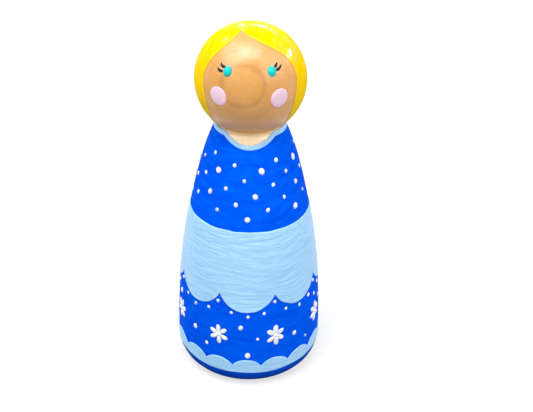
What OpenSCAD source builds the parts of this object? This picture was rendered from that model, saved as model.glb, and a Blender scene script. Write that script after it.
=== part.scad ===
// Hand-painted wooden peg doll: a turned body and a drilled ball head glued
// together on a dowel, with each laid coat, dot and stroke of paint as its own
// raised film. Millimetres, +Z up, face towards -Y, origin at the middle of
// the flat base.

/* [Turned blank] */
// Height of the doll, base to crown
doll_h = 89; // [84:0.5:94]
// Diameter of the ball head
head_d = 25; // [23.5:0.5:26.5]
// Diameter of the seat line where the ball meets the body
neck_d = 15.4; // [13.4:0.2:17]
// Widest diameter, just above the rounded base edge
base_d = 37; // [34:0.5:40]
// Radius of the rounded base edge
base_round = 4.5; // [2.5:0.1:4.6]
// Body diameter at the shoulder
shoulder_d = 23.5; // [22:0.5:25]
// Height of the seat line above the shoulder
shoulder_drop = 11.15; // [9:0.05:13]

/* [Neck dowel] */
// Diameter of the dowel
dowel_d = 6; // [4:0.5:8]
// Length of the dowel
dowel_len = 20; // [14:1:24]
// Radial clearance round the dowel, filled by glue
dowel_fit = 0.05; // [0.02:0.01:0.1]
// Empty end of each dowel hole
dowel_room = 0.5; // [0.2:0.1:1]
// Chamfer on the dowel's ends
dowel_chamfer = 0.6; // [0.2:0.1:1]

/* [Dress coat] */
// Thickness of the dress coat
dress_t = 0.15; // [0.1:0.01:0.25]
// Bare edge left above the base
dress_foot = 0.6; // [0.3:0.1:1.5]
// Bare line left under the head
dress_gap = 0.4; // [0.3:0.05:0.8]
// Width of the scooped neckline at its top
scoop_w = 10.4; // [8:0.2:11]
// Depth of the scooped neckline below the seat line
scoop_drop = 2.6; // [1.8:0.1:4]
// Width of the light band round the neckline
collar_w = 1; // [0.6:0.1:1.6]

/* [Pale tiers] */
// Thickness of the pale coats, laid over the dress coat
tier_t = 0.14; // [0.1:0.01:0.25]
// Height of the bodice, from the seat line down to the waistline
bodice_h = 22.15; // [20:0.05:25]
// Height of the points between the tier's scallops
tier_point_h = 28; // [26:0.5:30]
// Depth of the tier's scallops
tier_drop = 4.6; // [3:0.1:5.5]
// Number of scallops round the tier
tier_scallops = 8; // [6:1:10]
// Height of the hem band's lower edge
hem_h = 4.8; // [4.6:0.1:6]
// Height of the hem band between its scallops
hem_band_h = 2.2; // [1.5:0.1:3]
// Height of the hem's scallops
hem_rise = 2; // [1.2:0.1:2.6]
// Number of scallops round the hem
hem_scallops = 16; // [12:1:20]

/* [Dots and flowers] */
// Diameter of the large raised dots
dot_d = 1.45; // [1:0.05:1.6]
// Diameter of the small raised dots
small_dot_d = 0.95; // [0.6:0.05:1.1]
// Spacing of the dots scattered over the bodice
bodice_spacing = 4.35; // [3.8:0.05:6]
// Spacing of the dots scattered over the skirt
skirt_spacing = 5.2; // [4:0.05:7]
// Clear space between the tier's edge and its row of dots
edge_gap = 1.3; // [1:0.1:1.8]
// Height of the flower centres
flower_h = 16; // [15:0.5:18]
// Diameter of a flower
flower_d = 6; // [4.5:0.1:6.6]
// Width of a petal
petal_w = 1.5; // [1:0.1:1.8]
// Number of petals
petals_n = 6; // [5:1:7]
// Thickness of the petals
petal_t = 0.22; // [0.12:0.01:0.3]

/* [Hair and face] */
// Thickness of the hair paint
hair_t = 0.2; // [0.12:0.01:0.3]
// Bare line left between the hair and the body
nape_gap = 0.5; // [0.4:0.05:1]
// Azimuth of each eye from the middle of the face, degrees
eye_az = 24.5; // [21:0.5:28]
// Elevation of the eyes above the middle of the head, degrees
eye_el = 27; // [24:0.5:30]
// Diameter of an eye
eye_d = 2.15; // [1.7:0.05:2.5]
// Azimuth of each cheek, degrees
cheek_az = 31; // [27:0.5:35]
// Diameter of a cheek
cheek_d = 4.3; // [3.4:0.1:5]
// Thickness of the cheek and lash paint
face_t = 0.1; // [0.06:0.01:0.2]
// Length of the longer lash
lash_len = 1.6; // [1.2:0.1:2]
// Width of a lash at its root
lash_w = 0.34; // [0.2:0.02:0.5]

/* [Hidden] */
$fn = 240;

base_r = base_d / 2;
shoulder_r = shoulder_d / 2;
neck_r = neck_d / 2;
head_r = head_d / 2;
head_z = doll_h - head_r;
neck_z = head_z - sqrt(head_r * head_r - neck_r * neck_r);
seat_z = doll_h - head_d;
shoulder_h = neck_z - shoulder_drop;
waist_h = neck_z - bodice_h;

// The skirt arc stands upright on the base rounding and passes the shoulder.
skirt_in = base_r - shoulder_r;
skirt_up = shoulder_h - base_round;
skirt_arc = (skirt_in * skirt_in + skirt_up * skirt_up) / (2 * skirt_in);
skirt_mid = [base_r - skirt_arc, base_round];
skirt_lean = asin(skirt_up / skirt_arc);

// The shoulder curve leaves the skirt arc along its tangent and ends on the
// seat line. Its bend point lies on that tangent, this share of the chord away.
shoulder_bend_share = 0.5;
shoulder_start = [shoulder_r, shoulder_h];
shoulder_end = [neck_r, neck_z];
shoulder_bend = shoulder_start + [-sin(skirt_lean), cos(skirt_lean)]
                * norm(shoulder_end - shoulder_start) * shoulder_bend_share;
// The curve runs on into the ball by this share of its own length.
seat_lap_share = 0.15;

round_steps = 8;
skirt_steps = 16;
shoulder_steps = 6;

// How far cutting shapes run past what they cut, as a share of the doll.
overrun = doll_h / 50;

// Height of a raised dot as a share of its diameter.
dot_rise_share = 0.26;
golden_angle = 137.508;

// Points of an arc, with the angles counted from the outward direction.
function arc_points(middle, radius, from, to, steps) =
    [for (i = [0:steps])
        let (a = from + (to - from) * i / steps)
        middle + radius * [cos(a), sin(a)]];

// Point, direction and outward lean of the shoulder curve at a share of it.
function shoulder_point(t) =
    (1 - t) * (1 - t) * shoulder_start + 2 * t * (1 - t) * shoulder_bend + t * t * shoulder_end;
function shoulder_way(t) =
    (1 - t) * (shoulder_bend - shoulder_start) + t * (shoulder_end - shoulder_bend);
function shoulder_lean(t) = atan2(-shoulder_way(t)[0], shoulder_way(t)[1]);

// The share of the shoulder curve at which it reaches a height.
function shoulder_share(z) =
    let (curl = shoulder_start[1] - 2 * shoulder_bend[1] + shoulder_end[1],
         climb = 2 * (shoulder_bend[1] - shoulder_start[1]),
         rise = z - shoulder_h)
    2 * rise / (climb + sqrt(climb * climb + 4 * curl * rise));

// Outline of the turned side, grown outwards by the thickness of paint on it.
function side_points(grow) = concat(
    arc_points([base_r - base_round, base_round], base_round + grow, -90, 0, round_steps),
    [for (i = [1:skirt_steps])
        arc_points(skirt_mid, skirt_arc + grow, 0, skirt_lean, skirt_steps)[i]],
    [for (i = [1:shoulder_steps])
        let (t = (1 + seat_lap_share) * i / shoulder_steps, lean = shoulder_lean(t))
        shoulder_point(t) + grow * [cos(lean), sin(lean)]]);

// Lean of the side's outward normal at a height above the base rounding.
function lean_at(z) = z < shoulder_h
    ? asin((z - skirt_mid[1]) / skirt_arc)
    : shoulder_lean(shoulder_share(z));

// Radius of the bare wood at a height above the base rounding.
function side_r(z) = z < shoulder_h
    ? skirt_mid[0] + skirt_arc * cos(lean_at(z))
    : shoulder_point(shoulder_share(z))[0];

// Radius of the ball whose cap has a given foot radius and height.
function cap_r(foot_r, cap_h) = (foot_r * foot_r + cap_h * cap_h) / (2 * cap_h);

// Points of a cubic curve through its first and last point, without the last.
function curve_points(p, steps) =
    [for (i = [0:steps - 1])
        let (t = i / steps, s = 1 - t)
        s * s * s * p[0] + 3 * s * s * t * p[1] + 3 * s * t * t * p[2] + t * t * t * p[3]];

// Places its children on the side, +Z outwards and +Y upwards.
module on_side(azimuth, z, grow = 0) {
    lean = lean_at(z);
    rotate([0, 0, azimuth])
        translate([0, -side_r(z) - grow * cos(lean), z + grow * sin(lean)])
            rotate([90 - lean, 0, 0])
                children();
}

// Turns its children about the ball's centre, +Z outwards and +Y upwards.
module about_head(azimuth, elevation) {
    translate([0, 0, head_z])
        rotate([0, 0, azimuth])
            rotate([90 - elevation, 0, 0])
                children();
}

// The turned body as a solid, grown by the paint on it.
module turned_body(grow = 0) {
    side = side_points(grow);
    rotate_extrude()
        polygon(concat([[0, side[0][1]]], side, [[0, side[len(side) - 1][1]]]));
}

// A film of paint round the body, between two depths and two heights.
module side_film(inner, outer, low, high) {
    out = side_points(outer);
    in = side_points(inner);
    rotate_extrude()
        intersection() {
            polygon(concat(out, [for (i = [len(in) - 1:-1:0]) in[i]]));
            translate([0, low])
                square([base_d, high - low]);
        }
}

// A film of paint on the ball.
module head_film(inner, outer) {
    translate([0, 0, head_z])
        difference() {
            sphere(r = head_r + outer);
            sphere(r = head_r + inner);
        }
}

// Round tools pointing outwards, one for each scallop of an edge.
module scallop_tools(count, chord_z, depth, pointing) {
    half_chord = side_r(chord_z) * sin(180 / count);
    radius = cap_r(half_chord, depth);
    for (i = [0:count - 1])
        rotate([0, 0, i * 360 / count])
            translate([0, -side_r(chord_z) / 2, chord_z + pointing * (depth - radius)])
                rotate([90, 0, 0])
                    cylinder(r = radius, h = side_r(chord_z));
}

// The upright section of a drop of paint, from its axis outwards.
module drop_section(foot_d) {
    rise = foot_d * dot_rise_share;
    radius = cap_r(foot_d / 2, rise);
    intersection() {
        translate([0, rise - radius])
            circle(r = radius);
        square([foot_d, rise]);
    }
}

// A raised drop of paint on a flat foot.
module drop_of_paint(foot_d) {
    rotate_extrude($fn = 48)
        drop_section(foot_d);
}

module body_peg() {
    color("burlywood")
        difference() {
            turned_body();
            translate([0, 0, head_z])
                sphere(r = head_r);
            translate([0, 0, seat_z - dowel_len / 2 - dowel_room])
                cylinder(d = dowel_d + 2 * dowel_fit, h = dowel_len / 2 + head_r);
        }
}

module head_ball() {
    color("burlywood")
        difference() {
            translate([0, 0, head_z])
                sphere(r = head_r);
            translate([0, 0, seat_z - overrun])
                cylinder(d = dowel_d + 2 * dowel_fit,
                         h = dowel_len / 2 + dowel_room + overrun);
        }
}

module neck_dowel() {
    half = dowel_len / 2;
    radius = dowel_d / 2;
    color("wheat")
        translate([0, 0, seat_z])
            rotate_extrude()
                polygon([[0, -half], [radius - dowel_chamfer, -half],
                         [radius, dowel_chamfer - half], [radius, half - dowel_chamfer],
                         [radius - dowel_chamfer, half], [0, half]]);
}

scoop_top_z = neck_z - dress_gap;
scoop_r = cap_r(scoop_w / 2, scoop_drop - dress_gap);
scoop_z = neck_z - scoop_drop + scoop_r;

// The round tool that scoops the neckline from the front.
module scoop_tool(grow = 0) {
    translate([0, 0, scoop_z])
        rotate([90, 0, 0])
            cylinder(r = scoop_r + grow, h = base_r);
}

module dress_coat() {
    color("royalblue")
        difference() {
            side_film(0, dress_t, dress_foot, scoop_top_z);
            scoop_tool();
        }
}

module collar_band() {
    color("lightskyblue")
        difference() {
            side_film(dress_t, dress_t + tier_t, neck_z - scoop_drop - 2 * collar_w, scoop_top_z);
            difference() {
                translate([0, 0, seat_z - head_r])
                    cylinder(r = base_r, h = head_r - seat_z + scoop_top_z - collar_w);
                scoop_tool(collar_w);
            }
            scoop_tool();
        }
}

module waist_tier() {
    color("lightskyblue")
        intersection() {
            side_film(dress_t, dress_t + tier_t, tier_point_h - tier_drop - overrun, waist_h);
            union() {
                translate([0, 0, tier_point_h])
                    cylinder(r = base_r + overrun, h = waist_h - tier_point_h + overrun);
                scallop_tools(tier_scallops, tier_point_h, tier_drop, -1);
            }
        }
}

hem_point_h = hem_h + hem_band_h;

module hem_band() {
    color("lightskyblue")
        intersection() {
            side_film(dress_t, dress_t + tier_t, hem_h, hem_point_h + hem_rise + overrun);
            union() {
                translate([0, 0, hem_h - overrun])
                    cylinder(r = base_r + overrun, h = hem_band_h + overrun);
                scallop_tools(hem_scallops, hem_point_h, hem_rise, 1);
            }
        }
}

// How many dots a band of the side holds at a spacing.
function dots_in_band(low, high, spacing) =
    floor(PI * (side_r(low) + side_r(high)) * (high - low) / (spacing * spacing));

// Lowest and highest scattered dot on the bodice.
bodice_low_h = waist_h + 2 * dot_d;
bodice_high_h = neck_z - scoop_drop - collar_w - dot_d;
bodice_dots_n = dots_in_band(bodice_low_h, bodice_high_h, bodice_spacing);

module bodice_dots() {
    color("white")
        for (i = [0:bodice_dots_n - 1]) {
            z = bodice_low_h + (bodice_high_h - bodice_low_h) * (i + 0.5) / bodice_dots_n;
            on_side(i * golden_angle, z, dress_t)
                drop_of_paint(i % 3 == 0 ? dot_d : small_dot_d);
        }
}

tier_chord = side_r(tier_point_h) * sin(180 / tier_scallops);
tier_scallop_r = cap_r(tier_chord, tier_drop);
edge_row_r = tier_scallop_r + edge_gap;
tier_scallop_z = tier_point_h - tier_drop + tier_scallop_r;
// Angles of the edge dots of one scallop, as shares of its half angle.
edge_dot_shares = [-0.8, -0.4, 0, 0.4, 0.8];
edge_half_angle = asin(tier_chord / tier_scallop_r);

// Height of the row of dots under the tier at an azimuth.
function edge_row_z(azimuth) =
    let (step = 360 / tier_scallops,
         off = azimuth - step * round(azimuth / step))
    tier_scallop_z - sqrt(edge_row_r * edge_row_r
                          - pow(side_r(tier_point_h) * sin(off), 2));

// Distance over the surface from a place on the skirt to the nearest flower.
function flower_distance(azimuth, z) =
    let (step = 360 / tier_scallops,
         off = azimuth - step * (floor(azimuth / step) + 0.5))
    norm([side_r(z) * off * PI / 180, z - flower_h]);

skirt_low_h = hem_point_h + hem_rise + dot_d;
skirt_high_h = tier_point_h - edge_gap;
skirt_dots_n = dots_in_band(skirt_low_h, skirt_high_h, skirt_spacing);

// Whether a scattered dot has room at a place on the skirt.
function has_room(azimuth, z) =
    flower_distance(azimuth, z) > flower_d / 2 + dot_d
    && z < edge_row_z(azimuth) - 2 * dot_d;

module skirt_dots() {
    color("white") {
        for (i = [0:tier_scallops - 1], share = edge_dot_shares) {
            angle = share * edge_half_angle;
            z = tier_scallop_z - edge_row_r * cos(angle);
            on_side(i * 360 / tier_scallops + asin(edge_row_r * sin(angle) / side_r(z)),
                    z, dress_t)
                drop_of_paint(small_dot_d);
        }
        for (i = [0:skirt_dots_n - 1]) {
            azimuth = (i * golden_angle) % 360;
            z = skirt_low_h + (skirt_high_h - skirt_low_h) * (i + 0.5) / skirt_dots_n;
            if (has_room(azimuth, z))
                on_side(azimuth, z, dress_t)
                    drop_of_paint(i % 2 == 0 ? dot_d : small_dot_d);
        }
    }
}

// One flower, flat: pointed petals round a dab in the middle.
module flower_outline() {
    petal_len = flower_d / 2;
    petal_r = cap_r(petal_len / 2, petal_w / 2);
    for (i = [0:petals_n - 1])
        rotate(i * 360 / petals_n)
            translate([petal_len / 2, 0])
                intersection() {
                    translate([0, petal_r - petal_w / 2])
                        circle(r = petal_r);
                    translate([0, petal_w / 2 - petal_r])
                        circle(r = petal_r);
                }
    circle(d = petal_w);
}

module skirt_flowers() {
    color("white")
        intersection() {
            side_film(dress_t, dress_t + petal_t, flower_h - flower_d, flower_h + flower_d);
            for (i = [0:tier_scallops - 1])
                on_side((i + 0.5) * 360 / tier_scallops, flower_h)
                    translate([0, 0, -overrun])
                        linear_extrude(height = 2 * overrun)
                            flower_outline();
        }
}

// The hairline, from the left jaw over the parting to the right jaw, in shares
// of the ball's radius, seen square to the face.
jaw_left_share = [-0.5, -1.06];
temple_left_share = [-0.8, -0.14];
parting_share = [-0.16, 0.72];
temple_right_share = [0.81, -0.1];
jaw_right_share = [0.5, -1.06];
hairline_shares = concat(
    curve_points([jaw_left_share, [-0.64, -0.8], [-0.8, -0.5], temple_left_share], 8),
    curve_points([temple_left_share, [-0.8, 0.24], [-0.34, 0.4], parting_share], 10),
    curve_points([parting_share, [0.02, 0.44], [0.8, 0.4], temple_right_share], 10),
    curve_points([temple_right_share, [0.82, -0.5], [0.64, -0.8], jaw_right_share], 8),
    [jaw_right_share]);
// Elevation of the direction in which the face is seen square.
face_el = 30;

module hair_coat() {
    color("gold")
        difference() {
            head_film(0, hair_t);
            about_head(0, face_el)
                linear_extrude(height = head_d)
                    polygon(head_r * hairline_shares);
            translate([0, 0, seat_z - overrun])
                cylinder(r = head_r, h = neck_z + nape_gap - seat_z + overrun);
        }
}

// Radius of the ball that an eye's domed paint is part of.
eye_r = cap_r(eye_d / 2, eye_d * dot_rise_share);

module eyes() {
    color("turquoise")
        difference() {
            for (side = [-1, 1])
                about_head(side * eye_az, eye_el)
                    translate([0, 0, head_r + eye_d * dot_rise_share - eye_r])
                        sphere(r = eye_r, $fn = 48);
            translate([0, 0, head_z])
                sphere(r = head_r);
        }
}

// One lash, flat: a stroke along an arc, thinning to its tip.
module lash_outline(length) {
    steps = 6;
    bend_r = length;
    sweep = 55;
    function lash_edge(way) =
        [for (i = [0:steps])
            let (a = -90 + sweep * i / steps,
                 r = bend_r + way * lash_w / 2 * (1 - 0.8 * i / steps))
            [r * cos(a), bend_r + r * sin(a)]];
    inner = lash_edge(-1);
    polygon(concat(lash_edge(1), [for (i = [steps:-1:0]) inner[i]]));
}

// Where the two lashes of an eye start, as shares of the eye's diameter, and
// the turn and length share of each.
lash_roots_shares = [[0.3, 0.36], [0.44, 0]];
lash_turns = [14, 2];
lash_length_shares = [1, 0.86];

module eyelashes() {
    color("midnightblue")
        intersection() {
            head_film(0, face_t);
            for (side = [0, 1])
                mirror([1 - side, 0, 0])
                    about_head(eye_az, eye_el)
                        for (i = [0, 1])
                            translate([eye_d * lash_roots_shares[i][0],
                                       eye_d * lash_roots_shares[i][1], head_r - overrun])
                                linear_extrude(height = 2 * overrun)
                                    rotate(lash_turns[i])
                                        lash_outline(lash_len * lash_length_shares[i]);
        }
}

module cheeks() {
    color("pink")
        intersection() {
            head_film(0, face_t);
            for (side = [-1, 1])
                about_head(side * cheek_az, 0)
                    translate([0, 0, head_r - overrun])
                        cylinder(d = cheek_d, h = 2 * overrun);
        }
}

body_peg();
head_ball();
neck_dowel();
dress_coat();
collar_band();
waist_tier();
hem_band();
bodice_dots();
skirt_dots();
skirt_flowers();
hair_coat();
eyes();
eyelashes();
cheeks();
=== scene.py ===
import bisect
import bmesh
import bpy
import math
import random
from mathutils import Matrix, Vector, noise


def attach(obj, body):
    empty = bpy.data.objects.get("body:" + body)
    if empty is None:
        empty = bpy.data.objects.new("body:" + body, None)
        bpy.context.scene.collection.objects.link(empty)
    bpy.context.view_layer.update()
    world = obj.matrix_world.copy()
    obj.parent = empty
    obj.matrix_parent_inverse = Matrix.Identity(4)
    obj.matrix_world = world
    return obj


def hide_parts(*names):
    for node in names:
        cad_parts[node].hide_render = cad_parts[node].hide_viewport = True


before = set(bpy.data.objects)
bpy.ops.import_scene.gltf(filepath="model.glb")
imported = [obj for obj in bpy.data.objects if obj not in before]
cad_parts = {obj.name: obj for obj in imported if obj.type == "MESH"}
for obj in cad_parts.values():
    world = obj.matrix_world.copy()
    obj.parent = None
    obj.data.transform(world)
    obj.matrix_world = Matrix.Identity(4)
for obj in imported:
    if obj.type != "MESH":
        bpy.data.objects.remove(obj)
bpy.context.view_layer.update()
mm = 0.001               # the doll's sizes are in millimetres, the camera's and the studio's in metres
mergeGap = 1e-4          # points closer than this are made one
tiny = 1e-9              # keeps a division from being by nothing
dice = random.Random(7)  # gives the same dots every time
print("frame loaded")


def addObject(name, data):
    made = bpy.data.objects.new(name, data)
    bpy.context.scene.collection.objects.link(made)
    return made


cameraView = {
    "place": (0.004144, -0.165, 0.14567),
    "pitch": 31.93,    # degrees below level
    "roll": 1.2,       # the doll leans a little in the picture
    "lens": 53.23,
    "nearest": 0.005,  # nothing closer is drawn
}
cameraData = bpy.data.cameras.new("camera")
cameraData.lens = cameraView["lens"]
cameraData.clip_start = cameraView["nearest"]
camera = addObject("camera", cameraData)
camera.matrix_world = (Matrix.Translation(cameraView["place"])
                       @ Matrix.Rotation(math.radians(90 - cameraView["pitch"]), 4, "X")
                       @ Matrix.Rotation(math.radians(cameraView["roll"]), 4, "Z"))
bpy.context.scene.camera = camera
print("camera placed")

# the turned blank
blank = {
    "height": 89.0,
    "ballWide": 25.0,
    "seatWide": 15.4,       # line where the ball meets the body
    "baseWide": 37.0,
    "baseRound": 4.5,
    "shoulderWide": 23.5,
    "shoulderDrop": 11.15,  # below the seat line
    "bendShare": 0.5,       # how far the skirt's lean pulls the shoulder's curve, as a share of its length
    "boreWide": 6.1,
    "boreDeep": 10.5,
    "steps": 160,           # faces round the turning
    "rings": 40,            # faces up its side
    "edgeRings": 12,        # faces round the base's edge
    "seatRings": 8,         # faces across the dished seat
    "ballRings": 72,        # faces from the ball's hole up to its crown
}
ballR = blank["ballWide"] / 2
ballZ = blank["height"] - ballR
seatR = blank["seatWide"] / 2
seatZ = ballZ - math.sqrt(ballR ** 2 - seatR ** 2)
baseR = blank["baseWide"] / 2
baseRound = blank["baseRound"]
boreR = blank["boreWide"] / 2
shoulderR = blank["shoulderWide"] / 2
shoulderZ = seatZ - blank["shoulderDrop"]
skirtIn = baseR - shoulderR
skirtUp = shoulderZ - baseRound
skirtArc = (skirtIn ** 2 + skirtUp ** 2) / (2 * skirtIn)
skirtLean = math.asin(skirtUp / skirtArc)
bendReach = math.hypot(seatR - shoulderR, seatZ - shoulderZ) * blank["bendShare"]
bendR = shoulderR - math.sin(skirtLean) * bendReach
bendZ = shoulderZ + math.cos(skirtLean) * bendReach


def evenly(start, end, count):
    # values from start to end in equal steps
    return [start + (end - start) * i / count for i in range(count + 1)]


def sideAt(z):
    # radius of the bare wood at a height, and how far its surface leans back
    if z < baseRound:
        lean = math.asin(max(-1.0, (z - baseRound) / baseRound))
        return baseR - baseRound * (1 - math.cos(lean)), lean
    if z < shoulderZ:
        lean = math.asin((z - baseRound) / skirtArc)
        return baseR - skirtArc * (1 - math.cos(lean)), lean
    curl = shoulderZ - 2 * bendZ + seatZ
    climb = 2 * (bendZ - shoulderZ)
    t = 2 * (z - shoulderZ) / (climb + math.sqrt(climb ** 2 + 4 * curl * (z - shoulderZ)))
    radius = (1 - t) ** 2 * shoulderR + 2 * t * (1 - t) * bendR + t * t * seatR
    wayR = (1 - t) * (bendR - shoulderR) + t * (seatR - bendR)
    wayZ = (1 - t) * (bendZ - shoulderZ) + t * (seatZ - bendZ)
    return radius, math.atan2(-wayR, wayZ)


def onSide(azimuth, z, lift):
    # azimuth 0 is the front, positive towards +X
    radius, lean = sideAt(z)
    reach = radius + lift * math.cos(lean)
    a = math.radians(azimuth)
    return Vector((reach * math.sin(a), -reach * math.cos(a), z + lift * math.sin(lean))) * mm


def towards(azimuth, elevation):
    a, e = math.radians(azimuth), math.radians(elevation)
    return Vector((math.cos(e) * math.sin(a), -math.cos(e) * math.cos(a), math.sin(e)))


def onBall(way, lift):
    return (Vector((0, 0, ballZ)) + way * (ballR + lift)) * mm


def sideSheet(azimuth, z, lift):
    # a small flat drawing on the body: x to the right, y up the surface
    radius, lean = sideAt(z)
    return lambda x, y, up: onSide(azimuth + math.degrees(x / radius), z + y * math.cos(lean), lift + up)


def ballSheet(azimuth, elevation, mirror):
    # a small flat drawing on the ball, its x turned round where mirror is -1
    out = towards(azimuth, elevation)
    right = towards(azimuth + 90, 0) * mirror
    above = towards(azimuth, elevation + 90)

    def place(x, y, up):
        reach = math.hypot(x, y)
        side = (right * x + above * y) / max(reach, tiny)
        return onBall(out * math.cos(reach / ballR) + side * math.sin(reach / ballR), up)
    return place


def wander(x, y, z, scale):
    # smooth noise from -1 to 1, a wave every few times "scale"
    return noise.noise(Vector((x, y, z)) / scale)


def wanderRound(a, radius, z, scale=1):
    # the same noise along a circle, so that it meets itself
    return wander(radius * math.sin(a), radius * math.cos(a), z, scale)


def makePiece(bm, name, material, node):
    bmesh.ops.recalc_face_normals(bm, faces=bm.faces[:])
    mesh = bpy.data.meshes.new(name)
    bm.to_mesh(mesh)
    bm.free()
    mesh.shade_smooth()
    mesh.materials.append(material)
    piece = addObject(name, mesh)
    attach(piece, "root")
    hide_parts(node)


def spinProfile(bm, points, steps, scale=mm):
    # turns a line of (radius, height) points about the upright axis
    before = set(bm.verts)
    verts = [bm.verts.new((r * scale, 0, z * scale)) for r, z in points]
    edges = [bm.edges.new(pair) for pair in zip(verts, verts[1:])]
    bmesh.ops.spin(bm, geom=verts + edges, cent=(0, 0, 0), axis=(0, 0, 1),
                   angle=2 * math.pi, steps=steps, use_merge=True)
    made = [v for v in bm.verts if v not in before]
    bmesh.ops.remove_doubles(bm, verts=made, dist=mergeGap * scale)
    return [v for v in bm.verts if v not in before]


class Wire:
    # a shader socket that can be used in sums
    def __init__(self, tree, socket=None):
        self.tree, self.socket = tree, socket

    def node(self, kind, settings=None, output=0, **inputs):
        made = self.tree.nodes.new(kind)
        for key, value in (settings or {}).items():
            setattr(made, key, value)
        for key, value in inputs.items():
            socket = made.inputs[int(key[1:]) if key[1:].isdigit() else key]
            if isinstance(value, Wire):
                self.tree.links.new(value.socket, socket)
            else:
                socket.default_value = value
        return Wire(self.tree, made.outputs[output])

    def sums(self, operation, first, second):
        return self.node("ShaderNodeMath", {"operation": operation}, i0=first, i1=second)

    def __add__(self, other):
        return self.sums("ADD", self, other)

    def __sub__(self, other):
        return self.sums("SUBTRACT", self, other)

    def __rsub__(self, other):
        return self.sums("SUBTRACT", other, self)

    def __mul__(self, other):
        return self.sums("MULTIPLY", self, other)

    def __truediv__(self, other):
        return self.sums("DIVIDE", self, other)

    __radd__ = __add__

    def fract(self):
        return self.node("ShaderNodeMath", {"operation": "FRACT"}, i0=self)

    def size(self):
        return self.node("ShaderNodeMath", {"operation": "ABSOLUTE"}, i0=self)

    def between(self, low, high):
        # 0 below low, 1 above high, smooth between
        return self.node("ShaderNodeMapRange", {"interpolation_type": "SMOOTHSTEP"},
                         i0=self, i1=low, i2=high, i3=0.0, i4=1.0)

    def stretch(self, *share):
        return self.node("ShaderNodeVectorMath", {"operation": "MULTIPLY"}, i0=self, i1=share)

    def shifted(self, other):
        return self.node("ShaderNodeVectorMath", {"operation": "ADD"}, i0=self, i1=other)

    def dot(self, way):
        return self.node("ShaderNodeVectorMath", {"operation": "DOT_PRODUCT"}, output=1, i0=self, i1=way)

    def clouds(self, scale=1.0, detail=2.0, rough=0.5):
        return self.node("ShaderNodeTexNoise", Vector=self, Scale=scale, Detail=detail, Roughness=rough)

    def layer(self, name, output):
        # what a layer of the piece's own mesh holds: output 1 is a vector, 2 a number
        return self.node("ShaderNodeAttribute", {"attribute_name": name}, output=output)

    def blend(self, low, high):
        # this value mixes two colours
        return self.node("ShaderNodeMix", {"data_type": "RGBA"}, output=2, i0=self, i6=low, i7=high)

    def relief(self, height, strength):
        return self.node("ShaderNodeBump", Strength=strength, Distance=height * mm, Height=self)


def linear(red, green, blue):
    # a colour as read off a picture, 0 to 255, in the shader's own scale, by the usual screen curve
    def one(c):
        c /= 255
        return c / 12.92 if c <= 0.04045 else ((c + 0.055) / 1.055) ** 2.4
    return one(red), one(green), one(blue), 1.0


def grey(level):
    return level, level, level, 1.0


def emptyTree(owner):
    owner.use_nodes = True
    owner.node_tree.nodes.clear()
    return owner.node_tree


def startMaterial(name):
    material = bpy.data.materials.new(name)
    tree = emptyTree(material)
    shader = tree.nodes.new("ShaderNodeBsdfPrincipled")
    output = tree.nodes.new("ShaderNodeOutputMaterial")
    tree.links.new(shader.outputs[0], output.inputs[0])
    start = Wire(tree)
    place = start.node("ShaderNodeTexCoord", output="Object").stretch(1 / mm, 1 / mm, 1 / mm)
    return material, shader, place


def finishMaterial(shader, values):
    for key, value in values.items():
        if isinstance(value, Wire):
            value.tree.links.new(value.socket, shader.inputs[key])
        else:
            shader.inputs[key].default_value = value


# the rings' lines lie ringStep apart from firstRing on, and fade towards lastRing; warp is how far they stray
ballWood = {
    "heart": (209, 146, 55), "outer": (220, 160, 85), "ring": (180, 116, 44), "fleck": (168, 109, 46),
    "ringWay": (-8.2, 14.1),  # out of the middle of the growth rings
    "ringStep": 1.7, "firstRing": 11.67, "lastRing": 9.5, "ringShare": 0.5, "fadeShare": 0.22, "warp": 1.4,
    "centre": (0, 0, ballZ),
}
pegWood = {
    "heart": (255, 222, 176), "outer": (255, 228, 184), "ring": (246, 204, 152), "fleck": (240, 196, 142),
    "ringWay": (62, 3),
    "ringStep": 1.3, "firstRing": 40.0, "lastRing": -40.0, "ringShare": 0.3, "fadeShare": 0.4, "warp": 2.0,
    "centre": (0, 0, 0),
}
pinWood = dict(pegWood, heart=(222, 178, 122), outer=(230, 188, 134), ringStep=0.9)
# what the woods share; a pair of edges is where a pattern starts to show and where it is full
grain = {
    "bendScale": 0.07, "broadScale": 0.11,      # slow changes, in waves to the millimetre
    "ringEdges": (0.02, 0.2),                   # half a line's width, as a share of ringStep
    "ringLeast": 0.6, "ringSpread": 0.8,
    "heartReach": (4, 0.3), "heartShare": 0.8,  # its colour starts and is full this far before firstRing
    "speckle": (2.6, 3.0, 0.62),                # scale, detail and roughness, as for the pores
    "speckleEdges": (0.42, 0.78), "speckleShare": 0.36,
    "poreStretch": (5.0, 5.0, 1.6), "pores": (1.0, 2.0, 0.55), "poreEdges": (0.6, 0.74), "poreShare": 0.15,
    "relief": 0.02, "strength": 0.3,
}
varnish = {
    "rough": 0.42, "roughSpread": 0.12, "woodIor": 1.45,
    "coat": 0.75, "coatSpread": 0.25, "coatScale": 0.4, "coatEdges": (0.3, 0.65),
    "coatRough": 0.36, "coatIor": 1.82,
}


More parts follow.
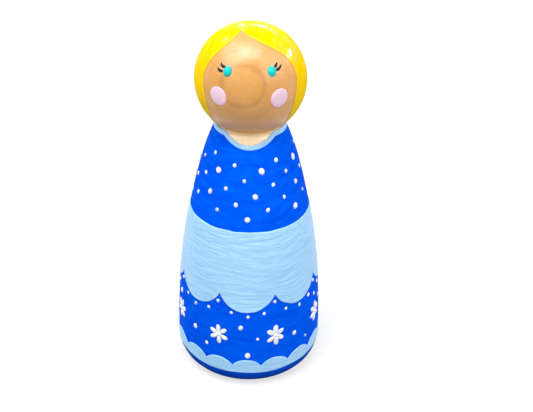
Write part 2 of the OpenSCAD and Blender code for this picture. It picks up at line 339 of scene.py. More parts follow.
def makeWood(name, look):
    material, shader, place = startMaterial(name)
    heart, outer, ring, fleck = [linear(*look[key]) for key in ("heart", "outer", "ring", "fleck")]
    away = place.shifted(tuple(-c for c in look["centre"]))
    bend = away.clouds(grain["bendScale"]) - 0.5
    depth = away.dot(tuple(towards(*look["ringWay"]))) + bend * look["warp"]
    phase = ((depth - look["firstRing"]) / look["ringStep"] + 0.5).fract()
    line = 1 - (phase - 0.5).size().between(*grain["ringEdges"])
    fade = look["fadeShare"]
    seen = (depth.between(look["lastRing"], look["firstRing"]) * (1 - fade) + fade) * look["ringShare"]
    broad = away.clouds(grain["broadScale"])
    speckle = away.clouds(*grain["speckle"])
    pores = away.stretch(*grain["poreStretch"]).clouds(*grain["pores"]).between(*grain["poreEdges"])
    inner = depth.between(*(look["firstRing"] - reach for reach in grain["heartReach"]))
    body = (inner * grain["heartShare"] + (broad - 0.5)).blend(outer, heart)
    ringed = (line * seen * (grain["ringLeast"] + broad * grain["ringSpread"])).blend(body, ring)
    dusted = (speckle.between(*grain["speckleEdges"]) * grain["speckleShare"]).blend(ringed, fleck)
    thicker = away.clouds(varnish["coatScale"]).between(*varnish["coatEdges"])
    finishMaterial(shader, {
        "Base Color": (pores * grain["poreShare"]).blend(dusted, fleck),
        "Roughness": varnish["rough"] + speckle * varnish["roughSpread"],
        "Coat Weight": varnish["coat"] + thicker * varnish["coatSpread"],
        "Coat Roughness": varnish["coatRough"],
        "Coat IOR": varnish["coatIor"],
        "IOR": varnish["woodIor"],
        "Specular IOR Level": 0.0,
        "Normal": (speckle - pores).relief(grain["relief"], grain["strength"]),
    })
    return material


# strokes: marks to the millimetre along each axis; relief: their depth; level: plain gloss;
# glint: share of the glossier streaks, and streaks: where in the noise they start and are full
deepBluePaint = {
    "dark": (0, 80, 236), "main": (0, 91, 246), "light": (0, 106, 254),
    "strokes": (0.3, 0.3, 1.7), "relief": 0.06, "strength": 0.4, "rough": 0.4, "level": 0.0, "glint": 0.03,
    "streaks": (0.48, 0.54),
    # foot: painted shade, a darker blue towards the base edge, where the rounding turns away from the light
    "foot": (2, 62, 168), "footShadeEdges": (2.0, 7.0),  # darker towards the base edge
}
paleBluePaint = {
    "dark": (156, 209, 250), "main": (165, 215, 255), "light": (182, 225, 255),
    "strokes": (0.26, 0.26, 2.4), "relief": 0.17, "strength": 1.0, "rough": 0.3, "level": 0.2,
}
whitePaint = {
    "dark": (226, 228, 234), "main": (248, 249, 251), "light": (255, 255, 255),
    "strokes": (0.8, 2.4, 0.8), "relief": 0.05, "strength": 0.5, "rough": 0.3, "level": 0.4,
    "tone": (186, 188, 198),  # of the dots that let the blue through
}
yellowPaint = {
    "dark": (246, 198, 0), "main": (250, 208, 0), "light": (254, 218, 3),
    "strokes": (1.5, 1.5, 0.16), "relief": 0.15, "strength": 1.0, "rough": 0.2, "level": 0.0, "glint": 0.1,
    "streaks": (0.48, 0.54),
    # azimuth and elevation of each glossier patch, and the shares of the ball's radius where it starts
    # and is full
    "patches": [(180, 72, 0.8, 0.93), (61, 45, 0.95, 0.99)],
    "rimGloss": 0.9,
}
tealPaint = {
    "dark": (0, 182, 184), "main": (4, 202, 199), "light": (36, 216, 210),
    "strokes": (0.8, 1.6, 1.0), "relief": 0.03, "strength": 0.3, "rough": 0.08, "level": 0.18,
}
inkPaint = {
    "dark": (14, 16, 30), "main": (20, 23, 40), "light": (34, 38, 58),
    "strokes": (0.8, 3.0, 1.0), "relief": 0.03, "strength": 0.3, "rough": 0.3, "level": 0.2,
}
pinkPaint = {
    "dark": (234, 194, 218), "main": (244, 206, 228), "light": (252, 222, 238),
    "strokes": (0.4, 3.0, 1.0), "relief": 0.1, "strength": 0.9, "rough": 0.3, "level": 0.3,
}
# what the paints share: broad and hair shares say how fine these marks are beside the strokes
brushwork = {
    "swayScale": 0.09, "swayDetail": 1.0, "swayReach": 5,  # up and down on the way round the body
    "broadShare": 0.3, "broadEdges": (0.3, 0.62),
    "marks": (1.0, 3.0, 0.6), "markEdges": (0.46, 0.7), "lightShare": 0.8,
    "hairShare": 2.7, "hairs": (1.0, 2.0, 0.6),
    "hairRough": 0.1, "markRelief": 0.7, "hairRelief": 0.3, "paintIor": 1.45,
    "leastGloss": 0.3, "glossRough": 0.09, "glossIor": 1.6,
}


def makePaint(name, look, alongStrokes=False):
    # brush marks run along the strokes of a piece, or round the body
    material, shader, place = startMaterial(name)
    dark, main, light = [linear(*look[key]) for key in ("dark", "main", "light")]
    if alongStrokes:
        bent = place.layer("stroke", 1)
    else:
        sway = (place.clouds(brushwork["swayScale"], brushwork["swayDetail"]) - 0.5) * brushwork["swayReach"]
        bent = place.shifted(sway.node("ShaderNodeCombineXYZ", X=0.0, Y=0.0, Z=sway))
    strokes = look["strokes"]
    broad = bent.stretch(*(s * brushwork["broadShare"] for s in strokes)).clouds()
    marks = bent.stretch(*strokes).clouds(*brushwork["marks"])
    hairs = bent.stretch(*(s * brushwork["hairShare"] for s in strokes)).clouds(*brushwork["hairs"])
    deep = broad.between(*brushwork["broadEdges"]).blend(dark, main)
    colour = (marks.between(*brushwork["markEdges"]) * brushwork["lightShare"]).blend(deep, light)
    if "tone" in look:
        colour = place.layer("tone", 2).blend(colour, linear(*look["tone"]))
    # painted shade: the colour turns to the darker foot blue towards the base edge
    if "foot" in look:
        colour = place.dot((0, 0, 1)).between(*look["footShadeEdges"]).blend(linear(*look["foot"]), colour)
    ridges = marks * brushwork["markRelief"] + hairs * brushwork["hairRelief"]
    finishMaterial(shader, {
        "Base Color": colour,
        "Roughness": look["rough"] + hairs * brushwork["hairRough"],
        "Specular IOR Level": look["level"],
        "IOR": brushwork["paintIor"],
        "Normal": ridges.relief(look["relief"], look["strength"]),
    })
    if "glint" in look:
        # streaks where the paint dried glossiest
        streaks = hairs.between(*look["streaks"])
        least = brushwork["leastGloss"]
        gloss = (least + streaks * (1 - least)) * look["glint"]
        for azimuth, elevation, low, high in look.get("patches", []):
            out = place.shifted((0, 0, -ballZ)).dot(tuple(towards(azimuth, elevation)))
            gloss = gloss + out.between(low * ballR, high * ballR) * streaks * (1 - look["glint"])
        if "rimGloss" in look:
            gloss = gloss + place.layer("rim", 2) * look["rimGloss"]
        finishMaterial(shader, {
            "Coat Weight": gloss,
            "Coat Roughness": brushwork["glossRough"],
            "Coat IOR": brushwork["glossIor"],
        })
    return material


headMaterial = makeWood("ballWood", ballWood)
bodyMaterial = makeWood("pegWood", pegWood)
dowelMaterial = makeWood("pinWood", pinWood)
deepBlue = makePaint("deepBluePaint", deepBluePaint)
paleBlue = makePaint("paleBluePaint", paleBluePaint)
white = makePaint("whitePaint", whitePaint, True)
yellow = makePaint("yellowPaint", yellowPaint, True)
teal = makePaint("tealPaint", tealPaint, True)
ink = makePaint("inkPaint", inkPaint, True)
pink = makePaint("pinkPaint", pinkPaint, True)
print("materials made")


def turnBody():
    bm = bmesh.new()
    corner = [math.radians(a) for a in evenly(-90, 0, blank["edgeRings"])[:-1]]
    points = [(0, 0)]
    points += [(baseR - baseRound * (1 - math.cos(a)), baseRound * (1 + math.sin(a))) for a in corner]
    points += [(sideAt(z)[0], z) for z in evenly(baseRound, seatZ, blank["rings"])]
    seat = evenly(math.asin(seatR / ballR), math.asin(boreR / ballR), blank["seatRings"])[1:]
    points += [(ballR * math.sin(a), ballZ - ballR * math.cos(a)) for a in seat]
    boreEnd = blank["height"] - blank["ballWide"] - blank["boreDeep"]
    points += [(boreR, boreEnd), (0, boreEnd)]
    spinProfile(bm, points, blank["steps"])
    makePiece(bm, "turnedBody", bodyMaterial, "body_peg")


def turnHead():
    bm = bmesh.new()
    arc = evenly(math.asin(boreR / ballR), math.pi, blank["ballRings"])
    boreEnd = blank["height"] - blank["ballWide"] + blank["boreDeep"]
    points = [(0, boreEnd), (boreR, boreEnd)]
    points += [(ballR * math.sin(a), ballZ - ballR * math.cos(a)) for a in arc]
    spinProfile(bm, points, blank["steps"])
    makePiece(bm, "ballHead", headMaterial, "head_ball")


turnBody()
turnHead()
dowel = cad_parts["neck_dowel"]
dowel.data.materials.clear()
dowel.data.materials.append(dowelMaterial)
print("wood turned")

# a coat of paint has rows of faces close together near its edge, where it rounds over
coatEdge = {
    "rows": [0.0, 0.02, 0.05, 0.1, 0.17, 0.27],  # distance of each from the edge
    "soft": 0.22,                                # width of the rounding
    "least": 0.1,                                # share of the full thickness right at the edge
    "beadPlace": 0.3, "beadWide": 0.16,
}
edgeSteps = coatEdge["rows"]
edgeRows = len(edgeSteps) - 1
# finer marks on top of a coat's brush marks: how much finer round and up the body, and how high
fineRidge = {"round": 2, "up": 2.3, "share": 0.5, "swayScale": 12}


def edgeLift(edge, bead):
    # share of the full thickness at a distance from the edge, and the bead that the brush leaves there
    share = min(edge / coatEdge["soft"], 1.0)
    least = coatEdge["least"]
    full = least + (1 - least) * math.sqrt(1 - (1 - share) ** 2)
    return full, bead * math.exp(-((edge - coatEdge["beadPlace"]) / coatEdge["beadWide"]) ** 2)


def brushRidges(p, coat):
    # raised brush marks that run round the body, a little up and down
    sway = coat["sway"] * wander(p.x, p.y, p.z, fineRidge["swayScale"])
    x, y, z = p.x / coat["length"], p.y / coat["length"], (p.z + sway) / coat["fine"]
    coarse = wander(x, y, z, 1)
    small = wander(x * fineRidge["round"], y * fineRidge["round"], z * fineRidge["up"], 1)
    return coat["thick"] * (1 + coat["ridge"] * (coarse + fineRidge["share"] * small))


def liftSkin(bm):
    # closes the sheet's seam, gives it a second side with walls between, and hands back that side's points
    bmesh.ops.remove_doubles(bm, verts=bm.verts[:], dist=mergeGap * mm)
    made = bmesh.ops.extrude_face_region(bm, geom=bm.faces[:], use_keep_orig=True)
    return [v for v in made["geom"] if isinstance(v, bmesh.types.BMVert)]


def layCoat(name, material, node, coat, lower, upper):
    # the grid runs from -1 to 1, once round the body and from the coat's lower edge to its upper one
    bm = bmesh.new()
    spot = bm.verts.layers.float_vector.new("spot")
    rows = 2 * edgeRows + coat["rows"]
    bmesh.ops.create_grid(bm, x_segments=coat["columns"], y_segments=rows, size=1)
    for v in bm.verts:
        azimuth = v.co.x * 180
        row = round((v.co.y + 1) / 2 * rows)
        low, high = lower(azimuth), upper(azimuth)
        if row <= edgeRows:
            z = low + edgeSteps[row]
        elif row >= rows - edgeRows:
            z = high - edgeSteps[rows - row]
        else:
            share = (row - edgeRows) / coat["rows"]
            z = low + edgeSteps[-1] + (high - low - 2 * edgeSteps[-1]) * share
        v[spot] = (azimuth, z, max(0.0, min(z - low, high - z)))
        v.co = onSide(azimuth, z, coat["under"])
    for v in liftSkin(bm):
        azimuth, z, edge = v[spot]
        full, bead = edgeLift(edge, coat["bead"])
        thick = brushRidges(onSide(azimuth, z, 0) / mm, coat) * full + bead
        v.co = onSide(azimuth, z, coat["under"] + coat["sunk"] + thick)
    makePiece(bm, name, material, node)


# under: how high a coat's underside lies above the wood; sunk: how much of that dips into what carries it;
# a stray says how far an edge wanders and over what length, and lowAt or topAt the height it is read at
dress = {
    "columns": 320, "rows": 78, "under": -0.02, "sunk": 0.02, "thick": 0.14, "ridge": 0.14, "length": 9,
    "fine": 1.1, "sway": 1.5, "bead": 0.015, "foot": 0.35, "gap": 0.4, "scoopWide": 10.4, "scoopDrop": 2.6,
    "lowAt": 1, "lowStray": (0.08, 5), "topStray": (0.05, 4),
}
tier = {
    "columns": 320, "rows": 100, "under": 0.13, "sunk": 0.02, "thick": 0.15, "ridge": 0.5, "length": 7,
    "fine": 0.62, "sway": 2.4, "bead": 0.03, "waistDrop": 22.15, "pointZ": 28.0, "drop": 4.6, "count": 8,
    "lowAt": 25, "lowStray": (0.2, 3), "topStray": (0.22, 3.5),
}
hem = {
    "columns": 384, "rows": 18, "under": 0.13, "sunk": 0.02, "thick": 0.14, "ridge": 0.35, "length": 7,
    "fine": 0.62, "sway": 1.5, "bead": 0.03, "lowZ": 4.8, "band": 2.2, "rise": 2.0, "count": 16,
    "lowAt": 6, "lowStray": (0.12, 3.5), "topAt": 9, "topStray": (0.14, 2.5),
}
collar = {
    "columns": 320, "rows": 6, "under": 0.13, "sunk": 0.02, "thick": 0.14, "ridge": 0.2, "length": 7,
    "fine": 0.62, "sway": 1.0, "bead": 0.02, "wide": 1.0, "lowStray": (0.08, 3),
}
edgeApart = 3  # the edges lie this many times further apart in the noise than on the body
searchSteps = {"scoop": 26, "lobe": 8}  # rounds in which the height of such an edge is found
scoopTop = seatZ - dress["gap"]
scoopDeep = dress["scoopDrop"] - dress["gap"]
scoopR = ((dress["scoopWide"] / 2) ** 2 + scoopDeep ** 2) / (2 * scoopDeep)
scoopZ = seatZ - dress["scoopDrop"] + scoopR
waistZ = seatZ - tier["waistDrop"]


def unsteady(azimuth, z, reach, scale):
    # how far a hand-painted edge strays from its line
    return reach * wanderRound(math.radians(azimuth), sideAt(z)[0], z * edgeApart, scale)


def scoopEdge(azimuth, grow, top):
    # where the round front cut of the neckline, grown outward, crosses the body at this azimuth
    def inside(z):
        x = sideAt(z)[0] * math.sin(math.radians(azimuth))
        return x * x + (z - scoopZ) ** 2 < (scoopR + grow) ** 2
    if abs(azimuth) > 90 or not inside(top):
        return top
    low, high = scoopZ - scoopR - grow, top
    for _ in range(searchSteps["scoop"]):
        middle = (low + high) / 2
        low, high = (low, middle) if inside(middle) else (middle, high)
    return (low + high) / 2


def lobeEdge(azimuth, count, chordZ, depth, pointing):
    # a row of round lobes that hang from chordZ, or stand on it
    step = 360 / count
    off = math.radians(azimuth - step * round(azimuth / step))
    half = sideAt(chordZ)[0] * math.sin(math.pi / count)
    lobeR = (half * half + depth * depth) / (2 * depth)
    middle = chordZ + pointing * (depth - lobeR)
    z = chordZ
    for _ in range(searchSteps["lobe"]):
        x = sideAt(z)[0] * math.sin(off)
        z = middle + pointing * math.sqrt(max(0.0, lobeR ** 2 - x * x))
    return z


def dressLow(azimuth):
    return dress["foot"] + unsteady(azimuth, dress["lowAt"], *dress["lowStray"])


def dressTop(azimuth):
    return scoopEdge(azimuth, 0.0, scoopTop + unsteady(azimuth, scoopTop, *dress["topStray"]))


def collarLow(azimuth):
    line = scoopEdge(azimuth, collar["wide"], scoopTop - collar["wide"])
    return line + unsteady(azimuth, scoopTop, *collar["lowStray"])


def tierLow(azimuth):
    line = lobeEdge(azimuth, tier["count"], tier["pointZ"], tier["drop"], -1)
    return line + unsteady(azimuth, tier["lowAt"], *tier["lowStray"])


def tierTop(azimuth):
    return waistZ + unsteady(azimuth, waistZ, *tier["topStray"])


def hemLow(azimuth):
    return hem["lowZ"] + unsteady(azimuth, hem["lowAt"], *hem["lowStray"])


def hemTop(azimuth):
    line = lobeEdge(azimuth, hem["count"], hem["lowZ"] + hem["band"], hem["rise"], 1)
    return line + unsteady(azimuth, hem["topAt"], *hem["topStray"])


layCoat("dressCoat", deepBlue, "dress_coat", dress, dressLow, dressTop)
layCoat("collarBand", paleBlue, "collar_band", collar, collarLow, dressTop)
layCoat("waistTier", paleBlue, "waist_tier", tier, tierLow, tierTop)
layCoat("hemBand", paleBlue, "hem_band", hem, hemLow, hemTop)
print("dress painted")

hair = {
    "columns": 420, "rows": 52, "thick": 0.19, "under": -0.02, "sunk": 0.02, "ridge": 0.06, "bead": 0.08,
    "strands": [(8, 9, 1.0), (19, 5, 0.5)],  # radius and length in the noise, and share of the height
    "ridgeStart": 4,         # this far from the whorl the marks are at full height
    "grooveDeep": 0.1, "grooveWide": 0.4, "grooveStart": 5,
    "waver": 0.14,
    "waverNoise": (10, 71, 2.4),
    "rimWide": 0.6,          # glossy strip along the edge, where the paint pooled
    "napeGap": 0.5,
    "faceTilt": 30,
    "whorl": (180, 60),      # the brush strokes all start from here
    "strandR": 7.0,
    # the bare face's outline in shares of the ball's radius, left jaw to right jaw, four points to a curve
    "outline": [(-0.5, -1.06), (-0.64, -0.8), (-0.8, -0.5), (-0.8, -0.14), (-0.8, 0.24),
                (-0.34, 0.4), (-0.16, 0.72), (0.02, 0.44), (0.8, 0.4), (0.81, -0.1),
                (0.82, -0.5), (0.64, -0.8), (0.5, -1.06)],
    "curveSteps": 100,
    "outlineLimit": 0.999,   # points nearer to the ball's rim, or past it, are left out
}
whorl = towards(*hair["whorl"])
whorlFront = towards(hair["whorl"][0], hair["whorl"][1] + 90)
whorlRight = Vector((1, 0, 0))


def onCurve(p, t):
    return tuple((1 - t) ** 3 * a + 3 * (1 - t) ** 2 * t * b + 3 * (1 - t) * t * t * c + t ** 3 * d
                 for a, b, c, d in zip(*p))


def hairline():
    # ways out of the ball's middle along the outline of the bare face
    outline, steps = hair["outline"], hair["curveSteps"]
    curves = [outline[i:i + 4] for i in range(0, len(outline) - 1, 3)]
    line = [onCurve(curve, k / steps) for curve in curves for k in range(steps)]
    up = towards(0, 90 + hair["faceTilt"])
    out = towards(0, hair["faceTilt"])
    return [Vector((x, 0, 0)) + up * y + out * math.sqrt(1 - x * x - y * y)
            for x, y in line if x * x + y * y < hair["outlineLimit"]]


def fromWhorl(way):
    # bearing round the whorl and angle away from it
    return math.degrees(math.atan2(way.dot(whorlRight), way.dot(whorlFront))), way.angle(whorl)


def fromWhorlOut(a, angle):
    # the way that lies at a bearing round the whorl and an angle away from it, both in radians
    return whorl * math.cos(angle) + (whorlFront * math.cos(a) + whorlRight * math.sin(a)) * math.sin(angle)


def hairBorder():
    # (bearing, angle) pairs all round: the face's outline, then the straight line at the nape
    napeSin = (seatZ + hair["napeGap"] - ballZ) / ballR
    face = [way for way in hairline() if way.z > napeSin]
    left, right = [math.degrees(math.atan2(way.x, -way.y)) for way in (face[0], face[-1])]
    rear = evenly(right, 360 + left, 4 * hair["curveSteps"])
    border = [fromWhorl(way) for way in face]
    border += [fromWhorl(towards(azimuth, math.degrees(math.asin(napeSin)))) for azimuth in rear]
    border.sort()
    return [(border[-1][0] - 360, border[-1][1])] + border + [(border[0][0] + 360, border[0][1])]


def paintHair():
    border = hairBorder()
    bearings = [bearing for bearing, _ in border]
    parting = fromWhorl(max(hairline(), key=lambda way: way.z))[0]

    def reach(bearing):
        i = max(1, min(len(border) - 1, bisect.bisect_left(bearings, bearing)))
        (before, near), (after, far) = border[i - 1], border[i]
        share = (bearing - before) / max(after - before, tiny)
        return (near + (far - near) * share) * ballR

    bm = bmesh.new()
    spot = bm.verts.layers.float_vector.new("spot")
    stroke = bm.verts.layers.float_vector.new("stroke")
    rim = bm.verts.layers.float.new("rim")
    rows = edgeRows + hair["rows"]
    bmesh.ops.create_grid(bm, x_segments=hair["columns"], y_segments=rows, size=1)
    for v in bm.verts:
        bearing = v.co.x * 180
        row = round((v.co.y + 1) / 2 * rows)
        a = math.radians(bearing)
        whole = reach(bearing) + hair["waver"] * wanderRound(a, *hair["waverNoise"])
        if row >= rows - edgeRows:
            along = whole - edgeSteps[rows - row]
        else:
            along = (whole - edgeSteps[-1]) * row / hair["rows"]
        v[spot] = (bearing, along, whole - along)
        v[rim] = max(0.0, 1 - (whole - along) / hair["rimWide"])
        v[stroke] = (hair["strandR"] * math.sin(a), hair["strandR"] * math.cos(a), along)
        v.co = onBall(fromWhorlOut(a, along / ballR), hair["under"])
    for v in liftSkin(bm):
        bearing, along, edge = v[spot]
        a, angle = math.radians(bearing), along / ballR
        full, bead = edgeLift(edge, hair["bead"])
        marks = sum(share * wanderRound(a, radius, along / length)
                    for radius, length, share in hair["strands"])
        aside = ballR * math.sin(angle) * math.radians(bearing - parting)
        groove = hair["grooveDeep"] * math.exp(-(aside / hair["grooveWide"]) ** 2)
        thick = hair["thick"] + hair["ridge"] * marks * min(1.0, along / hair["ridgeStart"])
        thick -= groove * min(1.0, along / hair["grooveStart"])
        v.co = onBall(fromWhorlOut(a, angle), hair["under"] + hair["sunk"] + thick * full + bead)
    makePiece(bm, "hairCoat", yellow, "hair_coat")


paintHair()
print("hair painted")

dab = {
    "sunk": 0.04, "rimShare": 0.97, "dome": 0.75, "taper": 0.0, "rings": 5, "spokes": 18, "tone": 0.0,
    "apart": 50,  # brush marks are read up to this far apart, so that no two dabs have the same
}


def flatWay(turn):
    return Vector((math.cos(math.radians(turn)), math.sin(math.radians(turn))))


def straight(middle, long, turn):
    # start, middle and end of a straight stroke about a point
    half = flatWay(turn) * long / 2
    return middle - half, middle, middle + half


def layDab(bm, sheet, path, wide, high, **more):
    # one touch of the brush: a low dome drawn out along a path and laid on a curved surface
    look = dict(dab, **more)
    stroke = bm.verts.layers.float_vector.get("stroke") or bm.verts.layers.float_vector.new("stroke")
    tone = bm.verts.layers.float.get("tone") or bm.verts.layers.float.new("tone")
    rings = look["rings"]
    profile = [(i / rings, high * (1 - (i / rings) ** 2) ** look["dome"]) for i in range(rings + 1)]
    profile += [(look["rimShare"], -look["sunk"]), (0.0, -look["sunk"])]
    start, via, end = path
    apart = dice.uniform(0, look["apart"])
    for v in spinProfile(bm, profile, look["spokes"], 1.0):
        x, y, up = v.co
        t = (x + 1) / 2
        middle = start * (1 - t) ** 2 + via * (2 * t * (1 - t)) + end * t * t
        way = ((via - start) * (1 - t) + (end - via) * t).normalized()
        across = y * wide / 2 * (1 + look["taper"] * x)
        v[stroke] = (x * (end - start).length / 2, across, apart)
        v[tone] = look["tone"]
        v.co = sheet(middle.x - way.y * across, middle.y + way.x * across, up)


drops = {
    "large": 1.45, "small": 0.95, "rise": 0.26, "spacing": 4.35, "skirtSpacing": 5.2, "edgeGap": 1.3,
    "goldenAngle": 137.508, "edgeShares": (-0.8, -0.4, 0, 0.4), "on": 0.13,
    "bodiceLarge": 3, "skirtLarge": 2,  # every third or every second dot is a large one
    # how far chance takes each dot's size, shape, place, turn and greyness
    "sizes": (0.84, 1.08), "lengths": (1.0, 1.22), "widths": (0.88, 1.0), "heights": (0.85, 1.1),
    "aside": (-0.8, 0.8), "upward": (-0.15, 0.15), "turns": (-25, 25),
    "tones": (-0.9, 0.7),               # below 0 a dot is plain white
}
flower = {
    "z": 16.0, "wide": 5.2, "tall": 6.3, "petalWide": 1.3, "petals": 6, "high": 0.34,
    "heart": 1.3, "heartRise": 1.1, "petalShape": {"taper": 0.15, "spokes": 20, "dome": 0.5},
    # how far chance takes the flower's turn, and each petal's turn, length, start, width and height
    "leans": (-12, 12), "strays": (-5, 5), "lengths": (0.88, 1.0), "roots": (0.05, 0.2),
    "widths": (0.85, 1.1), "heights": (0.85, 1.05),
}
centre = Vector((0, 0))


def dotsInBand(low, high, spacing):
    return math.floor(math.pi * (sideAt(low)[0] + sideAt(high)[0]) * (high - low) / spacing ** 2)


def dropAt(bm, azimuth, z, size):
    size *= dice.uniform(*drops["sizes"])
    long = size * dice.uniform(*drops["lengths"])
    wide = size * dice.uniform(*drops["widths"])
    azimuth += dice.uniform(*drops["aside"])
    z += dice.uniform(*drops["upward"])
    tone = max(0.0, dice.uniform(*drops["tones"]))
    stroke = straight(centre, long, 90 + dice.uniform(*drops["turns"]))
    high = size * drops["rise"] * dice.uniform(*drops["heights"])
    layDab(bm, sideSheet(azimuth, z, drops["on"]), stroke, wide, high, tone=tone)


def dotBodice():
    bm = bmesh.new()
    low = waistZ + 2 * drops["large"]
    high = seatZ - dress["scoopDrop"] - collar["wide"] - drops["large"]
    count = dotsInBand(low, high, drops["spacing"])
    for i in range(count):
        size = drops["large"] if i % drops["bodiceLarge"] == 0 else drops["small"]
        dropAt(bm, i * drops["goldenAngle"], low + (high - low) * (i + 0.5) / count, size)
    makePiece(bm, "bodiceDots", white, "bodice_dots")


def dotSkirt():
    # a row of dots along each scallop of the tier, then dots over the skirt, clear of the flowers
    bm = bmesh.new()
    count, pointZ = tier["count"], tier["pointZ"]
    chord = sideAt(pointZ)[0] * math.sin(math.pi / count)
    lobeR = (chord ** 2 + tier["drop"] ** 2) / (2 * tier["drop"])
    rowR = lobeR + drops["edgeGap"]
    lobeZ = pointZ - tier["drop"] + lobeR
    halfAngle = math.asin(chord / lobeR)
    step = 360 / count
    for i in range(count):
        for share in drops["edgeShares"]:
            angle = share * halfAngle
            z = lobeZ - rowR * math.cos(angle)
            aside = math.degrees(math.asin(rowR * math.sin(angle) / sideAt(z)[0]))
            dropAt(bm, i * step + aside, z, drops["small"])
    low = hem["lowZ"] + hem["band"] + hem["rise"] + drops["large"]
    high = pointZ - drops["edgeGap"]
    places = dotsInBand(low, high, drops["skirtSpacing"])
    for i in range(places):
        azimuth = (i * drops["goldenAngle"]) % 360
        z = low + (high - low) * (i + 0.5) / places
        off = math.radians(azimuth - step * round(azimuth / step))
        edgeRow = lobeZ - math.sqrt(rowR ** 2 - (sideAt(pointZ)[0] * math.sin(off)) ** 2)
        aside = math.radians(azimuth - step * (math.floor(azimuth / step) + 0.5)) * sideAt(z)[0]
        clear = math.hypot(aside, z - flower["z"]) > flower["wide"] / 2 + drops["large"]
        if clear and z < edgeRow - 2 * drops["large"]:
            dropAt(bm, azimuth, z, drops["large"] if i % drops["skirtLarge"] == 0 else drops["small"])
    makePiece(bm, "skirtDots", white, "skirt_dots")


def paintFlowers():
    bm = bmesh.new()
    for i in range(tier["count"]):
        sheet = sideSheet((i + 0.5) * 360 / tier["count"], flower["z"], drops["on"])
        lean = dice.uniform(*flower["leans"])
        for petal in range(flower["petals"]):
            way = flatWay(90 + petal * 360 / flower["petals"] + lean + dice.uniform(*flower["strays"]))
            tip = Vector((way.x * flower["wide"] / 2, way.y * flower["tall"] / 2))
            tip *= dice.uniform(*flower["lengths"])
            root = tip * dice.uniform(*flower["roots"])
            wide = flower["petalWide"] * dice.uniform(*flower["widths"])
            high = flower["high"] * dice.uniform(*flower["heights"])
            layDab(bm, sheet, (root, (root + tip) / 2, tip), wide, high, **flower["petalShape"])
        heart = straight(centre, flower["heart"], 0)
        layDab(bm, sheet, heart, flower["heart"], flower["high"] * flower["heartRise"])
    makePiece(bm, "skirtFlowers", white, "skirt_flowers")


dotBodice()
dotSkirt()
paintFlowers()
print("dots and flowers laid")

# for each side of the face: the eye's and the cheek's azimuth and elevation, and each lash's
# start, bend and end, with x away from the nose
face = {
    "eyeTall": 2.3, "eyeWide": 2.0, "eyeHigh": 0.5, "eyeTilt": 4,
    "eyeShape": {"rings": 8, "spokes": 28},
    "lashWide": 0.62, "lashHigh": 0.11,
    "lashShape": {"taper": -0.4, "spokes": 32, "dome": 0.5},
    "cheekLong": 4.35, "cheekWide": 4.1, "cheekHigh": 0.11, "cheekTilt": 50,
    "cheekShape": {"rings": 10, "spokes": 48, "dome": 0.18},
    "left": {
        "eye": (-24.5, 27), "cheek": (-32.4, 0.6),
        "lashes": [((0.5, 0.85), (1.75, 0.6), (2.0, 1.7)), ((1.05, -0.1), (2.05, -0.4), (2.6, 0.55))],
    },
    "right": {
        "eye": (25.2, 27.8), "cheek": (31.2, 0.2),
        "lashes": [((0.7, 0.75), (1.45, 1.15), (1.5, 1.85)), ((0.9, 0.15), (2.0, 0.15), (2.5, 1.3))],
    },
}


def paintFace():
    eyes, lashes, cheeks = bmesh.new(), bmesh.new(), bmesh.new()
    upright = straight(centre, face["eyeTall"], 90 - face["eyeTilt"])
    slanted = straight(centre, face["cheekLong"], face["cheekTilt"])
    for name, mirror in (("left", -1), ("right", 1)):
        side = face[name]
        sheet = ballSheet(*side["eye"], mirror)
        layDab(eyes, sheet, upright, face["eyeWide"], face["eyeHigh"], **face["eyeShape"])
        for points in side["lashes"]:
            path = [Vector(point) for point in points]
            layDab(lashes, sheet, path, face["lashWide"], face["lashHigh"], **face["lashShape"])
        sheet = ballSheet(*side["cheek"], mirror)
        layDab(cheeks, sheet, slanted, face["cheekWide"], face["cheekHigh"], **face["cheekShape"])
    makePiece(eyes, "raisedEyes", teal, "eyes")
    makePiece(lashes, "lashStrokes", ink, "eyelashes")
    makePiece(cheeks, "cheekDabs", pink, "cheeks")


paintFace()
print("face painted")

studio = {
    "floorWide": 3.0, "floorColour": 0.33, "sky": 0.2,
    # what the floor adds of its own, near the doll and far off, and how far that is in millimetres
    "nearGlow": 0.62, "farGlow": 0.96, "nearby": 120, "farOff": 700,
    "aim": (0, 0, 0.07),
    # azimuth and elevation of each lamp from the doll, distance, width, height, watts
    "lamps": {
        "softboxAbove": (-6, 75, 0.55, 0.34, 0.13, 1.7),
        "softboxLeft": (-66, 60, 0.55, 0.5, 0.26, 1.4),
        "windowLeft": (-132, 42, 0.55, 0.1, 0.03, 0.5),
        "windowBehind": (174, 29, 0.55, 0.4, 0.06, 1.05),
        "windowRight": (114, 25, 0.55, 0.18, 0.03, 0.45),
        "smallLamp": (-52, 31, 0.55, 0.04, 0.04, 0.24),
        "rightFill": (56, 34, 0.75, 0.5, 0.5, 2.7),
        "leftFill": (-60, 36, 0.75, 0.5, 0.5, 1.1),
        "frontFill": (0, 20, 0.9, 1.2, 0.6, 1.0),
    },
}


def backgroundRays(start):
    # 1 for what the camera sees, straight, mirrored or through something
    direct, glossy, through = [start.node("ShaderNodeLightPath", output="Is " + ray + " Ray")
                               for ray in ("Camera", "Glossy", "Transmission")]
    return direct.sums("MAXIMUM", direct, glossy + through)


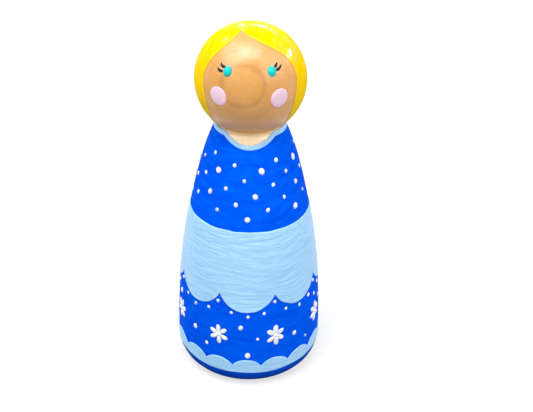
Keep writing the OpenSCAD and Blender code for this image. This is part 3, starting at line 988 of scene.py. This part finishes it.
def layFloor():
    bm = bmesh.new()
    bmesh.ops.create_grid(bm, x_segments=1, y_segments=1, size=studio["floorWide"] / 2)
    mesh = bpy.data.meshes.new("floor")
    bm.to_mesh(mesh)
    bm.free()
    floor = addObject("floor", mesh)
    material = bpy.data.materials.new("paleFloor")
    tree = emptyTree(material)
    start = Wire(tree)
    seen = backgroundRays(start)
    place = start.node("ShaderNodeTexCoord", output="Object")
    away = place.node("ShaderNodeVectorMath", {"operation": "LENGTH"}, output=1, i0=place)
    far = away.between(studio["nearby"] * mm, studio["farOff"] * mm)
    shade = far.blend(grey(studio["nearGlow"]), grey(studio["farGlow"]))
    matt = start.node("ShaderNodeBsdfDiffuse", Color=grey(studio["floorColour"]))
    glow = start.node("ShaderNodeEmission", Color=shade, Strength=1.0)
    both = start.node("ShaderNodeAddShader", i0=matt, i1=glow)
    picked = start.node("ShaderNodeMixShader", i0=seen, i1=matt, i2=both)
    output = tree.nodes.new("ShaderNodeOutputMaterial")
    tree.links.new(picked.socket, output.inputs[0])
    mesh.materials.append(material)


def hangSky():
    world = bpy.data.worlds.new("sky")
    bpy.context.scene.world = world
    tree = emptyTree(world)
    start = Wire(tree)
    seen = backgroundRays(start)
    sky = start.node("ShaderNodeBackground", Color=grey(1.0),
                     Strength=studio["sky"] + seen * (1 - studio["sky"]))
    output = tree.nodes.new("ShaderNodeOutputWorld")
    tree.links.new(sky.socket, output.inputs[0])


def hangLamp(name, azimuth, elevation, distance, wide, tall, watts):
    data = bpy.data.lights.new(name, "AREA")
    data.shape = "RECTANGLE"
    data.size = wide
    data.size_y = tall
    data.energy = watts
    lamp = addObject(name, data)
    way = towards(azimuth, elevation)
    place = Vector(studio["aim"]) + way * distance
    lamp.matrix_world = Matrix.Translation(place) @ (-way).to_track_quat("-Z", "Y").to_matrix().to_4x4()


layFloor()
hangSky()
for name, lamp in studio["lamps"].items():
    hangLamp(name, *lamp)
bpy.context.scene.view_settings.view_transform = "Standard"
print("studio lit")
